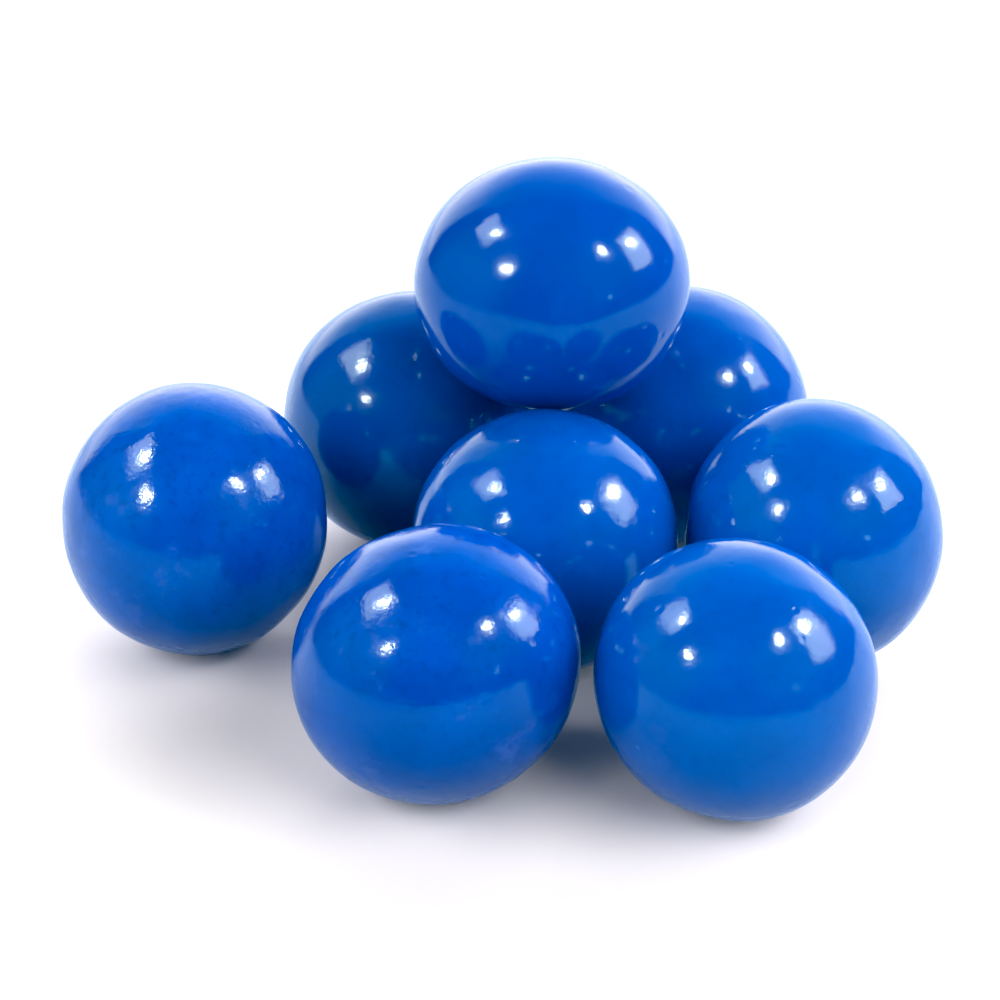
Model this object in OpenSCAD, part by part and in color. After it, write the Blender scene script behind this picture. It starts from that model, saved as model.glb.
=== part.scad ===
// A small pile of eight loose gumballs on a table.
// Each gumball is three nested pieces: a hollow ball of chewing gum, a white
// sugar shell panned onto it, and a thin glossy colour coat over the sugar.
// Millimetres, +Z up. The origin is on the table, under the middle of the
// pile's bounding box. +X runs along the widest row, and -Y is the front.

/* [Gumball] */
// Nominal diameter of a gumball
ball_d = 24.4; // [22:0.1:27]
// Thickness of the coloured outer coat
coat_t = 0.3; // [0.2:0.05:0.5]
// Thickness of the white sugar shell under the coat
sugar_t = 1; // [0.6:0.1:1.5]
// Diameter of the air space in the middle of the gum
void_d = 14; // [10:0.5:16]
// How much of the balls' out-of-roundness is kept
lumpiness = 1; // [0:0.1:1]

/* [Pile] */
// Clearance between two gumballs that touch
touch_gap = 0.1; // [0.05:0.01:0.2]
// Gap between the middle gumball and the right one
right_gap = 0.6; // [0.1:0.1:2]
// Gap between the two front gumballs
front_gap = 1.2; // [0.5:0.1:4]
// Gap from the middle gumball to the back left one
back_left_gap = 2.8; // [2:0.1:5]
// Gap from the middle gumball to the back right one
back_right_gap = 4.2; // [3:0.1:6]
// Gap from the back left gumball to the left one
left_gap = 3.8; // [1:0.1:6]

/* [Hidden] */
$fn = 72;
UP = [0, 0, 1];

// Each gumball: its name, its width, depth and height as a share of ball_d,
// and how far its long axis leans clockwise, in degrees, as seen from the front.
BALLS = [
    ["middle",      [0.99, 0.99, 0.98], -20],
    ["top",         [1.04, 1.01, 0.95],   0],
    ["back_left",   [0.98, 1.00, 1.00],   0],
    ["back_right",  [0.99, 0.99, 1.00],   0],
    ["left",        [0.99, 1.01, 1.02],   0],
    ["right",       [0.96, 0.99, 1.00],   0],
    ["front_left",  [1.03, 1.00, 0.98], -25],
    ["front_right", [1.01, 0.98, 0.98],  45],
];
MIDDLE = 0;
TOP = 1;
BACK_LEFT = 2;
BACK_RIGHT = 3;
LEFT = 4;
RIGHT = 5;
FRONT_LEFT = 6;
FRONT_RIGHT = 7;

LAYERS = ["gum_centre", "sugar_shell", "colour_coat"];

// Gumball i's three semi-axes, before it leans.
function semi(i) = ball_d / 2 * ([1, 1, 1] + lumpiness * (BALLS[i][1] - [1, 1, 1]));

// The direction u, turned into gumball i's own axes.
function own(i, u) =
    let (lean = BALLS[i][2])
    [u.x * cos(lean) - u.z * sin(lean), u.y, u.x * sin(lean) + u.z * cos(lean)];

// Distance from gumball i's centre to its surface, going towards u.
function reach(i, u) =
    let (p = own(i, u / norm(u)), s = semi(i))
    1 / norm([p.x / s.x, p.y / s.y, p.z / s.z]);

// Half of gumball i's overall size along the unit direction u.
function half(i, u) =
    let (p = own(i, u), s = semi(i))
    norm([p.x * s.x, p.y * s.y, p.z * s.z]);

// Distance between the centres of gumballs i and j, placed gap apart along u.
function spacing(i, j, u, gap) = reach(i, u) + reach(j, u) + gap;

// Centre of gumball j, which stands on the table beside gumball i at c.
// The bearing runs counter-clockwise from +X, as seen from above.
function beside(c, i, j, bearing, gap) =
    let (u = [cos(bearing), sin(bearing), 0], d = spacing(i, j, u, gap))
    [c.x + d * u.x, c.y + d * u.y, half(j, UP)];

// The upper of the two points at distances da, db and dc from a, b and c,
// which run counter-clockwise as seen from above.
function above(a, b, c, da, db, dc) =
    let (
        ab = norm(b - a),
        ex = (b - a) / ab,
        along = ex * (c - a),
        across = c - a - along * ex,
        ey = across / norm(across),
        away = norm(across),
        x = (da * da - db * db + ab * ab) / (2 * ab),
        y = (da * da - dc * dc + along * along + away * away - 2 * along * x) / (2 * away),
        z = sqrt(da * da - x * x - y * y)
    )
    a + x * ex + y * ey + z * cross(ex, ey);

// The top gumball's centre, resting on three others. Its distance to each
// depends on the direction, so a first guess p is improved a few times.
function settle(p, a, b, c, passes) =
    passes == 0 ? p : settle(
        above(
            a, b, c,
            spacing(TOP, MIDDLE, p - a, touch_gap),
            spacing(TOP, BACK_RIGHT, p - b, touch_gap),
            spacing(TOP, BACK_LEFT, p - c, touch_gap)
        ),
        a, b, c, passes - 1
    );

// The pile is laid out from the middle gumball.
middle_c = [0, 0, half(MIDDLE, UP)];
right_c = beside(middle_c, MIDDLE, RIGHT, 2, right_gap);
front_left_c = beside(middle_c, MIDDLE, FRONT_LEFT, 247, touch_gap);
front_right_c = beside(front_left_c, FRONT_LEFT, FRONT_RIGHT, -6, front_gap);
back_left_c = beside(middle_c, MIDDLE, BACK_LEFT, 118, back_left_gap);
back_right_c = beside(middle_c, MIDDLE, BACK_RIGHT, 62, back_right_gap);
left_c = beside(back_left_c, BACK_LEFT, LEFT, 227, left_gap);
top_guess = (middle_c + back_left_c + back_right_c) / 3 + ball_d * UP;
top_c = settle(top_guess, middle_c, back_right_c, back_left_c, 5);

// Centres in the order of BALLS, then moved so that the origin is in the middle.
LAID = [middle_c, top_c, back_left_c, back_right_c, left_c, right_c, front_left_c, front_right_c];
function middle_of(k, u) =
    let (highs = [for (i = [0 : len(LAID) - 1]) LAID[i][k] + half(i, u)])
    let (lows = [for (i = [0 : len(LAID) - 1]) LAID[i][k] - half(i, u)])
    (max(highs) + min(lows)) / 2;
ORIGIN = [middle_of(0, [1, 0, 0]), middle_of(1, [0, 1, 0]), 0];

// Gumball i's ellipsoid, with depth taken off all round.
module ball(i, depth) {
    rotate([0, BALLS[i][2], 0]) scale(semi(i) - depth * [1, 1, 1]) sphere(1);
}

module place(i) {
    translate(LAID[i] - ORIGIN) children();
}

module colour_coat(i) {
    color("royalblue") place(i) difference() {
        ball(i, 0);
        ball(i, coat_t);
    }
}

module sugar_shell(i) {
    color("white") place(i) difference() {
        ball(i, coat_t);
        ball(i, coat_t + sugar_t);
    }
}

module gum_centre(i) {
    color("lavender") place(i) difference() {
        ball(i, coat_t + sugar_t);
        sphere(d = void_d);
    }
}

for (i = [0 : len(BALLS) - 1]) {
    gum_centre(i);
    sugar_shell(i);
    colour_coat(i);
}
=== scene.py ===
"""Looks for a small pile of loose gumballs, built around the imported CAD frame. Metres, +Z up."""
import math

import bmesh
import bpy
import numpy as np
from mathutils import Matrix, Vector


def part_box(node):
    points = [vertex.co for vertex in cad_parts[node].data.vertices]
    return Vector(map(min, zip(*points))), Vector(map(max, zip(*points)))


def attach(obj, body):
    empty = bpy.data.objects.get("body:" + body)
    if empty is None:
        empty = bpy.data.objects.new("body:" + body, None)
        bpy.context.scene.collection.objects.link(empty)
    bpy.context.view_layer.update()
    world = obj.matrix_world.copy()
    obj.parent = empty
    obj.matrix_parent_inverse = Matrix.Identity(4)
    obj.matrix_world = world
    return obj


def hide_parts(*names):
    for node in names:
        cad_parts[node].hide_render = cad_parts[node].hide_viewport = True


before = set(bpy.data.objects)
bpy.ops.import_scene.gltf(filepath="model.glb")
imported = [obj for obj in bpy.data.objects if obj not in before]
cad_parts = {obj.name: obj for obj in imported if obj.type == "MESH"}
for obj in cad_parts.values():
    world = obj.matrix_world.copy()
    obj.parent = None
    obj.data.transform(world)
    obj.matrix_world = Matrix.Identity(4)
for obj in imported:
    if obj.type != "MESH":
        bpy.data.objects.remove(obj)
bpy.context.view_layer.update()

MM = 0.001

# How each gumball's surface differs from the others. grain is its fine orange peel, pits the
# number of small craters in it, mottle how uneven its colour is, its tone how light its blue is,
# which is partly its own shade of blue and partly painted shade that darkens back_left and top
# where they sit in the pile's shade, and green how far that blue leans towards cyan.
BALLS = {
    "middle": dict(grain=0.5, pits=20, mottle=0.4, tone_and_shade=1.04, green=1.15),
    "top": dict(grain=0.22, pits=20, mottle=0.3, tone_and_shade=0.92, green=1.0),
    "back_left": dict(grain=0.5, pits=24, mottle=0.5, tone_and_shade=0.80, green=1.18),
    "back_right": dict(grain=0.4, pits=24, mottle=0.4, tone_and_shade=0.96, green=1.12),
    "left": dict(grain=0.85, pits=26, mottle=1.0, tone_and_shade=1.07, green=1.05),
    "right": dict(grain=0.55, pits=22, mottle=0.5, tone_and_shade=1.03, green=1.22),
    "front_left": dict(grain=0.6, pits=26, mottle=1.0, tone_and_shade=1.02, green=1.0),
    "front_right": dict(grain=0.45, pits=20, mottle=0.4, tone_and_shade=1.02, green=1.18),
}

SKIN_LEVEL = 7                     # icosphere subdivisions of a coat's outside, 0.23 mm a face
LINING_LEVEL = 6                   # and of its inside, against the sugar shell
LUMP_HEIGHT = 0.13 * MM
WAVE_HEIGHT = 0.014 * MM
GRAIN_HEIGHT = 0.0075 * MM
SMALL_LUMP_SHARE = 0.5
NOISE_GAIN = 1.8                   # brings gradient noise up to about -1 to 1
# Each layer's noise: its cells per radius, and a shift that keeps the layers apart.
LUMPS = (1.3, 11.3)
SMALL_LUMPS = (2.7, 5.1)
WAVES = (6.0, 3.7)
GRAIN = (14.0, 1.9)
PIT_SEED = 100
PIT_WIDTH = (0.26 * MM, 0.60 * MM)
PIT_DEPTH = (0.020 * MM, 0.055 * MM)
PIT_RIM = 0.28                     # a pit's rim stands this share of its depth above the skin
PIT_RIM_PLACE = 1.25               # and this many widths from its middle
PIT_FALL = 2.2                     # how steeply a pit ends, and how narrow its rim is
PIT_RIM_FALL = 7
CONTACT_INNER = math.radians(7)    # a coat keeps the CAD's shape this close to a contact
CONTACT_OUTER = math.radians(24)   # and is fully uneven beyond this
TOUCHING = 0.5 * MM                # gumballs nearer than this count as touching


# ---------------------------------------------------------------- surface shapes

def unit_sphere(level):
    """Points and faces of an icosphere of radius 1."""
    mesh = bpy.data.meshes.new("unit_sphere")
    bm = bmesh.new()
    bmesh.ops.create_icosphere(bm, subdivisions=level, radius=1.0)
    bm.to_mesh(mesh)
    bm.free()
    points = mesh_points(mesh)
    points /= np.linalg.norm(points, axis=1)[:, None]
    faces = np.zeros(len(mesh.polygons) * 3, int)
    mesh.polygons.foreach_get("vertices", faces)
    bpy.data.meshes.remove(mesh)
    return points, faces.reshape(-1, 3)


def mesh_points(mesh):
    points = np.zeros(len(mesh.vertices) * 3)
    mesh.vertices.foreach_get("co", points)
    return points.reshape(-1, 3)


class Noise:
    """Smooth gradient noise in space, from a seed. Values lie near -1 to 1."""

    def __init__(self, seed):
        rng = np.random.default_rng(seed)
        self.order = np.concatenate([rng.permutation(256)] * 3)
        slopes = rng.normal(size=(256, 3))
        self.slopes = slopes / np.linalg.norm(slopes, axis=1)[:, None]

    def at(self, points):
        cell = np.floor(points).astype(int)
        inside = points - cell
        ease = inside ** 3 * (inside * (inside * 6 - 15) + 10)
        cell &= 255
        total = np.zeros(len(points))
        for corner in np.ndindex(2, 2, 2):
            x, y, z = (cell + corner).T
            slope = self.slopes[self.order[self.order[self.order[x] + y] + z]]
            weight = np.prod(np.where(corner, ease, 1 - ease), axis=1)
            total += weight * np.einsum("ij,ij->i", slope, inside - corner)
        return total * NOISE_GAIN

    def layer(self, directions, scale_and_shift):
        scale, shift = scale_and_shift
        return self.at(directions * scale + shift)


def ellipsoid_through(points, centre):
    """The matrix A of the ellipsoid p.A.p = 1 about centre that passes through the points."""
    x, y, z = (points - centre).T
    terms = np.stack([x * x, y * y, z * z, 2 * x * y, 2 * x * z, 2 * y * z], 1)
    a, b, c, d, e, f = np.linalg.lstsq(terms, np.ones(len(x)), rcond=None)[0]
    return np.array([[a, d, e], [d, b, f], [e, f, c]])


def radius(matrix, directions):
    """How far the ellipsoid's surface is from its centre in each direction."""
    return 1 / np.sqrt(np.einsum("ij,jk,ik->i", directions, matrix, directions))


def smooth(values, low, high):
    """0 below low, 1 above high, and smooth between."""
    t = np.clip((values - low) / (high - low), 0, 1)
    return t * t * (3 - 2 * t)


def measure(name):
    """Centre, outer ellipsoid and inner ellipsoid of a gumball's coat, from its CAD node."""
    node = name + "_colour_coat"
    low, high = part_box(node)
    centre = np.array((low + high) / 2)
    points = mesh_points(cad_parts[node].data)
    depth = np.linalg.norm(points - centre, axis=1)
    guess = ellipsoid_through(points, centre)
    outside = depth > radius(guess, (points - centre) / depth[:, None])
    return dict(
        centre=centre,
        outer=ellipsoid_through(points[outside], centre),
        inner=ellipsoid_through(points[~outside], centre),
        low=low.z,
    )


def contacts(name, shapes):
    """Directions in which a gumball touches the floor or another gumball."""
    me = shapes[name]
    found = []
    if me["low"] < TOUCHING:
        found.append(np.array([0.0, 0.0, -1.0]))
    for other, shape in shapes.items():
        if other == name:
            continue
        across = shape["centre"] - me["centre"]
        distance = np.linalg.norm(across)
        way = (across / distance)[None]
        gap = distance - radius(me["outer"], way)[0] - radius(shape["outer"], -way)[0]
        if gap < TOUCHING:
            found.append(way[0])
    return found


def pit_field(directions, count, size, seed):
    """Small round craters with a low rim, as a height in metres for each direction."""
    rng = np.random.default_rng(seed)
    height = np.zeros(len(directions))
    for _ in range(count):
        centre = rng.normal(size=3)
        centre /= np.linalg.norm(centre)
        width = rng.uniform(*PIT_WIDTH)
        depth = rng.uniform(*PIT_DEPTH)
        away = np.arccos(np.clip(directions @ centre, -1, 1)) * size / width
        height -= depth * np.exp(-away ** 2 * PIT_FALL)
        height += PIT_RIM * depth * np.exp(-(away - PIT_RIM_PLACE) ** 2 * PIT_RIM_FALL)
    return height


def unevenness(directions, size, name, seed):
    """Height of a coat above its CAD ellipsoid: lumps, waves, orange peel and pits."""
    look = BALLS[name]
    noise = Noise(seed)
    lumps = noise.layer(directions, LUMPS)
    lumps += SMALL_LUMP_SHARE * noise.layer(directions, SMALL_LUMPS)
    waves = noise.layer(directions, WAVES)
    grain = noise.layer(directions, GRAIN)
    height = LUMP_HEIGHT * lumps + (0.5 + look["grain"]) * WAVE_HEIGHT * waves
    height += look["grain"] * GRAIN_HEIGHT * grain
    return height + pit_field(directions, look["pits"], size, seed + PIT_SEED)


def build_coat(name, shapes, seed):
    """A gumball's colour coat: a closed shell, uneven outside and smooth against the sugar."""
    shape = shapes[name]
    skin, skin_faces = unit_sphere(SKIN_LEVEL)
    lining, lining_faces = unit_sphere(LINING_LEVEL)
    outer = radius(shape["outer"], skin)
    height = unevenness(skin, outer.mean(), name, seed)
    for way in contacts(name, shapes):
        away = np.arccos(np.clip(skin @ way, -1, 1))
        height *= smooth(away, CONTACT_INNER, CONTACT_OUTER)
    outside = shape["centre"] + skin * (outer + height)[:, None]
    inside = shape["centre"] + lining * radius(shape["inner"], lining)[:, None]
    points = np.concatenate([outside, inside])
    faces = np.concatenate([skin_faces, lining_faces[:, ::-1] + len(outside)])
    mesh = bpy.data.meshes.new(name + "_coat_visual")
    mesh.from_pydata(points.tolist(), [], faces.tolist())
    mesh.update()
    mesh.polygons.foreach_set("use_smooth", np.ones(len(faces), bool))
    piece = bpy.data.objects.new(name + "_coat_visual", mesh)
    bpy.context.scene.collection.objects.link(piece)
    return piece


# ---------------------------------------------------------------- materials

GLOSS_TINT = (0.45, 0.97, 1.0, 1)   # head-on gloss has less red; it turns white at the rims
GLOSS_IOR = 1.5
SHINIEST = 0.10                     # roughness where the wax is best polished
DULLEST = 0.14                      # and worst, on a gumball with no grain
DULLER_WITH_GRAIN = 0.05
BUMP_LEAST = 0.05 * MM
BUMP_WITH_GRAIN = 0.8 * MM

DARK = (0.0, 0.034, 0.25)
DEEP = (0.0, 0.044, 0.32)
BODY = (0.0, 0.064, 0.415)
# Colour of the pale specks: partly flecks in the coat, partly painted glints where pits catch the
# lamps.
PALE_SPECK_AND_GLINT = (0.02, 0.13, 0.52)
WAXY = (0.04, 0.095, 0.45)

# Noise scales, in cells per metre.
CLOUDS = 150.0
SMEARS = 260.0
FRECKLES = 1000.0
SPECKS = 420.0
PEEL = 1100.0
FINE_PEEL = 2600.0
SUGAR_GRAINS = 1800.0
GUM_FOLDS = 420.0
PAPER_GRAIN = 60.0
SPECK_RARITY = 0.955                # the share of speck cells that stay empty

# The span of noise over which each mark fades in, and how strong it gets.
MIDTONES = (0.3, 0.7)
CLOUD_EDGES = (0.35, 0.68)
SMEAR_EDGES = (0.56, 0.72)
FRECKLE_EDGES = (0.50, 0.70)
SPECK_EDGES = (0.05, 0.16)
MARK_STRENGTH = 0.5                 # of smears and freckles, where mottle is 1
SPECK_STRENGTH = 0.55
EVENNESS = 0.75                     # how far the body colour covers the clouds
LESS_EVEN_WITH_MOTTLE = 0.45
PATTERN_SHIFT = (0.37, 0.53, 0.71)  # moves the pattern by this for each seed

SUGAR_COLOURS = ((0.86, 0.85, 0.83, 1), (0.95, 0.95, 0.94, 1))
SUGAR_ROUGHNESS = (0.45, 0.7)
SUGAR_BUMP = 0.02 * MM
GUM_COLOURS = ((0.72, 0.71, 0.76, 1), (0.84, 0.83, 0.86, 1))
GUM_ROUGHNESS = (0.35, 0.55)
GUM_BUMP = 0.08 * MM


class Nodes:
    """A short way to write a node tree."""

    def __init__(self, tree):
        self.tree = tree
        tree.nodes.clear()

    def add(self, kind, inputs=None, **settings):
        made = self.tree.nodes.new(kind)
        for key, value in settings.items():
            setattr(made, key, value)
        for key, value in (inputs or {}).items():
            self.feed(made.inputs[key], value)
        return made

    def feed(self, socket, value):
        if isinstance(value, bpy.types.NodeSocket):
            self.tree.links.new(value, socket)
        else:
            socket.default_value = value

    def math(self, operation, a, b=0.0):
        return self.add("ShaderNodeMath", {0: a, 1: b}, operation=operation).outputs[0]

    def noise(self, where, scale, detail=2.0, roughness=0.5):
        inputs = {"Vector": where, "Scale": scale, "Detail": detail, "Roughness": roughness}
        return self.add("ShaderNodeTexNoise", inputs).outputs["Fac"]

    def span(self, value, low, high, to_low=0.0, to_high=1.0):
        """Maps low..high smoothly to to_low..to_high."""
        made = self.add("ShaderNodeMapRange", {"Value": value}, interpolation_type="SMOOTHSTEP")
        made.inputs["From Min"].default_value = low
        made.inputs["From Max"].default_value = high
        made.inputs["To Min"].default_value = to_low
        made.inputs["To Max"].default_value = to_high
        return made.outputs["Result"]

    def mix(self, factor, a, b):
        made = self.add("ShaderNodeMix", data_type="RGBA")
        for key, value in (("Factor", factor), ("A", a), ("B", b)):
            self.feed(next(s for s in made.inputs if s.name == key and s.enabled), value)
        return next(s for s in made.outputs if s.enabled)

    def bump(self, height, distance):
        made = self.add("ShaderNodeBump", {"Distance": distance, "Height": height})
        return made.outputs[0]

    def finish(self, kind, inputs, output="ShaderNodeOutputMaterial"):
        """Ends the tree with this shader."""
        shader = self.add(kind, inputs)
        self.add(output, {0: shader.outputs[0]})


def new_material(name):
    material = bpy.data.materials.new(name)
    material.use_nodes = True
    return material, Nodes(material.node_tree)


def toned(colour, tone_and_shade, green):
    """A colour with its blue scaled by the tone, which is partly painted shade, and its green by
    green. Red stays.
    """
    return (colour[0], colour[1] * green, colour[2] * tone_and_shade, 1)


def coat_colour(n, where, look):
    """Cloudy blue with faint waxy smears, dark freckles and a few tiny pale specks, which are
    partly the coat's own flecks and partly painted glints of its pits.
    """
    # The tone is partly painted shade: it darkens the gumballs that sit in the pile's shade.
    tone_and_shade = look["tone_and_shade"]
    green = tone_and_shade * look["green"]
    mottle = look["mottle"]
    dark, deep, body = [toned(colour, tone_and_shade, green) for colour in (DARK, DEEP, BODY)]
    pale, waxy = [toned(colour, tone_and_shade, tone_and_shade) for colour in (PALE_SPECK_AND_GLINT, WAXY)]
    clouds = n.span(n.noise(where, CLOUDS, 4.0, 0.55), *CLOUD_EDGES)
    colour = n.mix(clouds, deep, body)
    colour = n.mix(EVENNESS - LESS_EVEN_WITH_MOTTLE * mottle, colour, body)
    strength = MARK_STRENGTH * mottle
    smears = n.span(n.noise(where, SMEARS, 4.0, 0.6), *SMEAR_EDGES, 0.0, strength)
    colour = n.mix(smears, colour, waxy)
    freckles = n.span(n.noise(where, FRECKLES, 4.0, 0.65), *FRECKLE_EDGES, 0.0, strength)
    colour = n.mix(freckles, colour, dark)
    # Pale specks: partly the coat's own flecks and partly painted glints of its pits.
    cells = n.add("ShaderNodeTexVoronoi", {"Vector": where, "Scale": SPECKS, "Randomness": 1.0})
    pick = n.add("ShaderNodeSeparateColor", {"Color": cells.outputs["Color"]}).outputs[0]
    rare = n.math("GREATER_THAN", pick, SPECK_RARITY)
    near = n.span(cells.outputs["Distance"], *SPECK_EDGES, SPECK_STRENGTH, 0.0)
    return n.mix(n.math("MULTIPLY", rare, near), colour, pale)


def coat_material(name, seed):
    """Wax-polished blue sugar with a fine orange peel."""
    look = BALLS[name]
    material, n = new_material(name + "_candy_blue")
    place = n.add("ShaderNodeTexCoord").outputs["Object"]
    shift = [seed * step for step in PATTERN_SHIFT]
    where = n.add("ShaderNodeVectorMath", {0: place, 1: shift}, operation="ADD").outputs[0]
    smudges = n.noise(where, SMEARS, 3.0, 0.5)
    peel = n.math("MULTIPLY", n.noise(where, PEEL, 2.0, 0.5), 0.022)
    fine = n.math("MULTIPLY", n.noise(where, FINE_PEEL, 2.0, 0.5), 0.026)
    relief = n.math("ADD", peel, fine)
    dullest = DULLEST + DULLER_WITH_GRAIN * look["grain"]
    inputs = {
        "Base Color": coat_colour(n, where, look),
        "Roughness": n.span(smudges, *MIDTONES, SHINIEST, dullest),
        "IOR": GLOSS_IOR,
        "Specular Tint": GLOSS_TINT,
        "Normal": n.bump(relief, BUMP_LEAST + BUMP_WITH_GRAIN * look["grain"]),
    }
    n.finish("ShaderNodeBsdfPrincipled", inputs)
    return material


def sugar_material():
    """Matt white panned sugar with fine grains."""
    material, n = new_material("white_sugar")
    place = n.add("ShaderNodeTexCoord").outputs["Object"]
    grains = n.noise(place, SUGAR_GRAINS, 4.0, 0.6)
    inputs = {
        "Base Color": n.mix(n.span(grains, *MIDTONES), *SUGAR_COLOURS),
        "Roughness": n.span(grains, *MIDTONES, *SUGAR_ROUGHNESS),
        "Normal": n.bump(grains, SUGAR_BUMP),
    }
    n.finish("ShaderNodeBsdfPrincipled", inputs)
    return material


def gum_material():
    """Pale chewing gum, slightly shiny and wrinkled."""
    material, n = new_material("chewing_gum")
    place = n.add("ShaderNodeTexCoord").outputs["Object"]
    folds = n.noise(place, GUM_FOLDS, 4.0, 0.6)
    inputs = {
        "Base Color": n.mix(n.span(folds, *MIDTONES), *GUM_COLOURS),
        "Roughness": n.span(folds, *MIDTONES, *GUM_ROUGHNESS),
        "Normal": n.bump(folds, GUM_BUMP),
    }
    n.finish("ShaderNodeBsdfPrincipled", inputs)
    return material


def dress(node, material):
    """Gives a CAD node that stays a better material."""
    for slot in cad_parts[node].material_slots:
        slot.material = material


# ---------------------------------------------------------------- studio

CAMERA_TARGET = Vector((-0.1, 7.5, 12.2)) * MM
CAMERA_DISTANCE = 0.4043
CAMERA_ELEVATION = math.radians(27.85)
CAMERA_LENS = 158.3
CAMERA_SENSOR = 36
RED_BLACK = 0.02                    # reds below this come out black

FLOOR_RADIUS = 0.45
FLOOR_SEEN = ((0.87, 0.835, 0.83, 1), (0.89, 0.855, 0.85, 1))
FLOOR_BOUNCE = (0.27, 0.29, 0.41, 1)
FLOOR_IN_GLOSS = (0.61, 0.71, 0.86, 1)

# What the gloss sees: a white sheet behind, and a lighter wall at the left, in a dim room.
# Each pair of angles is where a soft edge starts and ends, in degrees.
ROOM = (0.05, 0.05, 0.05, 1)
SHEET_SIDES = (44, 50)
SHEET_TOP = (40, 74)
SHEET_FADE = (0, 45)
LEFT_WALL_START = (-150, -115)
LEFT_WALL_END = (-75, -50)
LEFT_WALL_TOP = (27, 44)
LEFT_WALL = (0.50, 0.60, 0.45, 1)
SHEET_LOW = (2.7, 2.6, 2.6, 1)
SHEET_HIGH = (0.5, 0.7, 0.7, 1)
AMBIENT_BEHIND = (0.16, 0.16, 0.16, 1)
AMBIENT_FRONT = (0.20, 0.20, 0.20, 1)

PAPER_LIGHT = (1.5, 1.0, 0.98)
BULB_LIGHT = (1.8, 0.97, 0.88)
SOFTBOX_DISTANCE = 1.5
SOFT_DISTANCE = 1.2
BULB_DISTANCE = 1.4
BULB_SIZE = 0.10
BULB_GLOW = 260
HALO_DISTANCE = BULB_DISTANCE - 0.01
HALO_SIZE = 0.21
HALO_GLOW = 9
BULBS = {
    "left_bulb": (-89, 53),
    "right_bulb": (87, 37),
    "left_flash": (-131, 38),
    "right_flash": (121, 47),
}


def add_camera():
    data = bpy.data.cameras.new("camera")
    data.lens = CAMERA_LENS
    data.sensor_width = CAMERA_SENSOR
    data.clip_start = 0.01
    camera = bpy.data.objects.new("camera", data)
    back = Vector((0, -math.cos(CAMERA_ELEVATION), math.sin(CAMERA_ELEVATION)))
    camera.location = CAMERA_TARGET + CAMERA_DISTANCE * back
    camera.rotation_euler = (-back).to_track_quat("-Z", "Y").to_euler()
    bpy.context.scene.collection.objects.link(camera)
    bpy.context.scene.camera = camera


def towards(azimuth, elevation):
    """Unit vector at an azimuth, clockwise from +Y as seen from above, and an elevation."""
    a, e = math.radians(azimuth), math.radians(elevation)
    return Vector((math.sin(a) * math.cos(e), math.cos(a) * math.cos(e), math.sin(e)))


def add_lamp(name, place, distance, size, glow, colour=(1, 1, 1), roll=0, disc=False):
    """A flat lamp that faces the pile. place is its azimuth and elevation in degrees, roll turns
    it about its own axis in degrees, and glow is its radiance, whatever its size."""
    way = towards(*place)
    data = bpy.data.lights.new(name, "AREA")
    data.shape = "DISK" if disc else "RECTANGLE"
    data.size, data.size_y = size
    area = size[0] * size[1] * (math.pi / 4 if disc else 1)
    data.energy = glow * math.pi * area
    data.color = colour
    lamp = bpy.data.objects.new(name, data)
    lamp.location = CAMERA_TARGET + distance * way
    facing = way.to_track_quat("Z", "Y").to_matrix()
    lamp.rotation_euler = (facing @ Matrix.Rotation(math.radians(roll), 3, "Z")).to_euler()
    bpy.context.scene.collection.objects.link(lamp)
    return lamp


def add_reflected_lamps():
    """Softboxes and bulbs that only show in the gloss."""
    lamps = [
        add_lamp("left_softbox", (-81, 49), SOFTBOX_DISTANCE, (0.70, 0.48), 5.5, PAPER_LIGHT, 10),
        add_lamp("right_softbox", (88, 31), SOFTBOX_DISTANCE, (0.58, 0.68), 7.0, PAPER_LIGHT, -18),
        add_lamp("glint", (131, 14), BULB_DISTANCE, (0.07, 0.07), 10),
    ]
    bulb = (BULB_SIZE, BULB_SIZE)
    halo = (HALO_SIZE, HALO_SIZE)
    for name, place in BULBS.items():
        lamps.append(add_lamp(name, place, BULB_DISTANCE, bulb, BULB_GLOW, BULB_LIGHT, disc=True))
        lamps.append(add_lamp(name + "_halo", place, HALO_DISTANCE, halo, HALO_GLOW, disc=True))
    for lamp in lamps:
        lamp.visible_diffuse = False


def add_soft_lamps():
    """Large soft lamps that light the pile and the floor, and don't show in the gloss."""
    lamps = [
        add_lamp("left_light", (-116, 30), SOFT_DISTANCE, (1.3, 0.9), 4.2),
        add_lamp("right_light", (124, 34), SOFT_DISTANCE, (1.3, 0.8), 5.3),
        add_lamp("back_light", (20, 28), SOFT_DISTANCE, (2.6, 0.9), 6.7),
    ]
    for lamp in lamps:
        lamp.visible_glossy = False


def add_floor():
    """A round white table top, which gives back less light than the camera sees on it."""
    bm = bmesh.new()
    bmesh.ops.create_circle(bm, cap_ends=True, radius=FLOOR_RADIUS, segments=96)
    mesh = bpy.data.meshes.new("floor")
    bm.to_mesh(mesh)
    bm.free()
    floor = bpy.data.objects.new("floor", mesh)
    bpy.context.scene.collection.objects.link(floor)
    material, n = new_material("white_table")
    place = n.add("ShaderNodeTexCoord").outputs["Object"]
    paper = n.mix(n.span(n.noise(place, PAPER_GRAIN, 3.0), *MIDTONES), *FLOOR_SEEN)
    ray = n.add("ShaderNodeLightPath").outputs
    given_back = n.mix(ray["Is Glossy Ray"], FLOOR_BOUNCE, FLOOR_IN_GLOSS)
    n.finish("ShaderNodeBsdfDiffuse", {"Color": n.mix(ray["Is Camera Ray"], given_back, paper)})
    mesh.materials.append(material)


def angle_span(n, angle, ends, to_start=0.0, to_end=1.0):
    """As Nodes.span, between two angles in degrees."""
    start, end = [math.radians(degrees) for degrees in ends]
    return n.span(angle, start, end, to_start, to_end)


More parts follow.
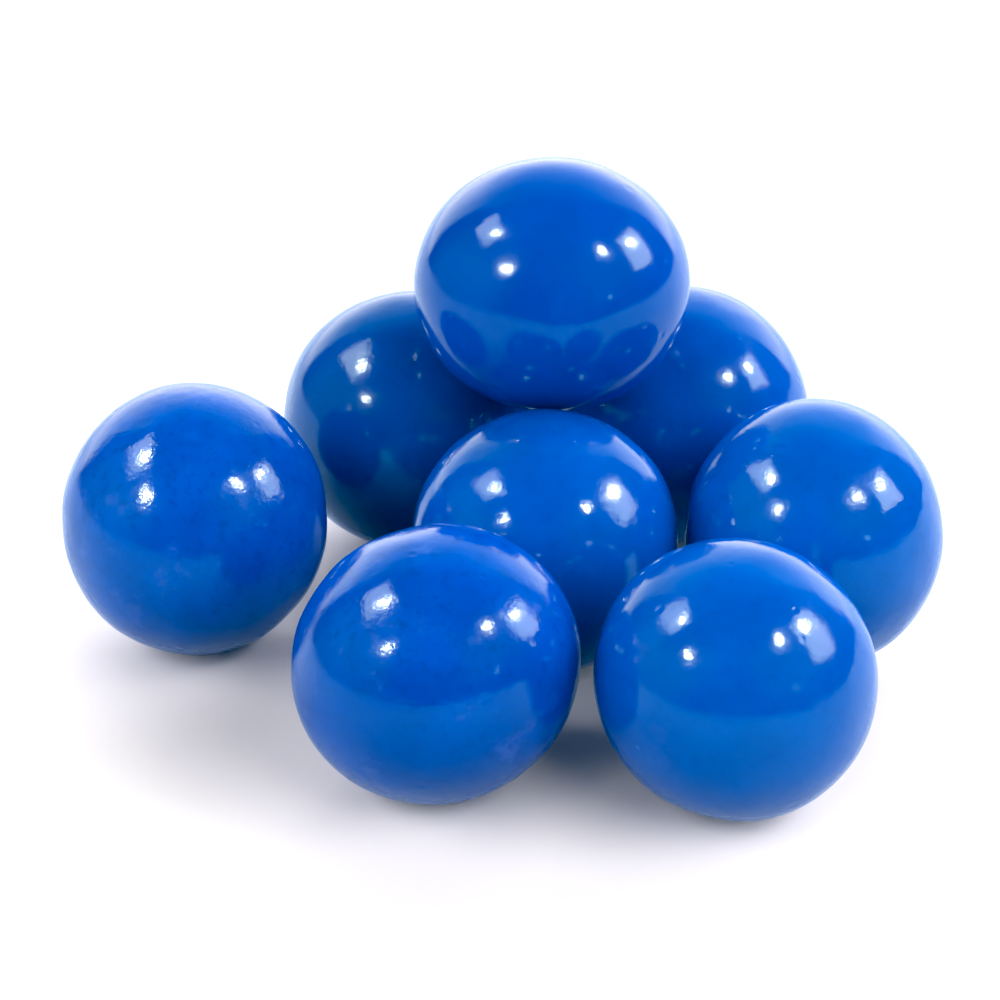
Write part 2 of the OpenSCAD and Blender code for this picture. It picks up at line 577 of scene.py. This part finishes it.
def height_span(n, height, ends, to_start=1.0, to_end=0.0):
    """Falls from 1 to 0 between two elevations in degrees, for the height of a unit vector."""
    low, high = [math.sin(math.radians(degrees)) for degrees in ends]
    return n.span(height, low, high, to_start, to_end)


def add_surroundings():
    """White all round for the camera, and the room for the gloss."""
    world = bpy.data.worlds.new("studio")
    bpy.context.scene.world = world
    world.use_nodes = True
    n = Nodes(world.node_tree)
    way = n.add("ShaderNodeTexCoord").outputs["Generated"]
    x, y, z = n.add("ShaderNodeSeparateXYZ", {0: way}).outputs
    azimuth = n.math("ARCTAN2", x, y)
    across = angle_span(n, n.math("ABSOLUTE", azimuth), SHEET_SIDES, 1.0, 0.0)
    sheet = n.math("MULTIPLY", across, height_span(n, z, SHEET_TOP))
    paper = n.mix(height_span(n, z, SHEET_FADE, 0.0, 1.0), SHEET_LOW, SHEET_HIGH)
    start = angle_span(n, azimuth, LEFT_WALL_START)
    end = angle_span(n, azimuth, LEFT_WALL_END, 1.0, 0.0)
    left = n.math("MULTIPLY", n.math("MULTIPLY", start, end), height_span(n, z, LEFT_WALL_TOP))
    room = n.mix(sheet, n.mix(left, ROOM, LEFT_WALL), paper)
    ray = n.add("ShaderNodeLightPath").outputs
    ambient = n.mix(n.span(y, -0.2, 0.2, 1.0, 0.0), AMBIENT_BEHIND, AMBIENT_FRONT)
    unseen = n.mix(ray["Is Glossy Ray"], ambient, room)
    colour = n.mix(ray["Is Camera Ray"], unseen, (1, 1, 1, 1))
    n.finish("ShaderNodeBackground", {"Color": colour}, "ShaderNodeOutputWorld")


def grade_picture():
    """Plain colours, with the darkest reds taken to black, which deepens the blue."""
    view = bpy.context.scene.view_settings
    view.view_transform = "Standard"
    view.use_curve_mapping = True
    view.curve_mapping.black_level = (RED_BLACK, 0, 0)
    view.curve_mapping.update()


# ---------------------------------------------------------------- everything

def add_gumballs():
    shapes = {name: measure(name) for name in BALLS}
    sugar = sugar_material()
    gum = gum_material()
    for seed, name in enumerate(BALLS, start=1):
        coat = build_coat(name, shapes, seed)
        coat.data.materials.append(coat_material(name, seed))
        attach(coat, name + "_gumball")
        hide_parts(name + "_colour_coat")
        dress(name + "_sugar_shell", sugar)
        dress(name + "_gum_centre", gum)


add_camera()
add_gumballs()
add_floor()
add_surroundings()
add_reflected_lamps()
add_soft_lamps()
grade_picture()
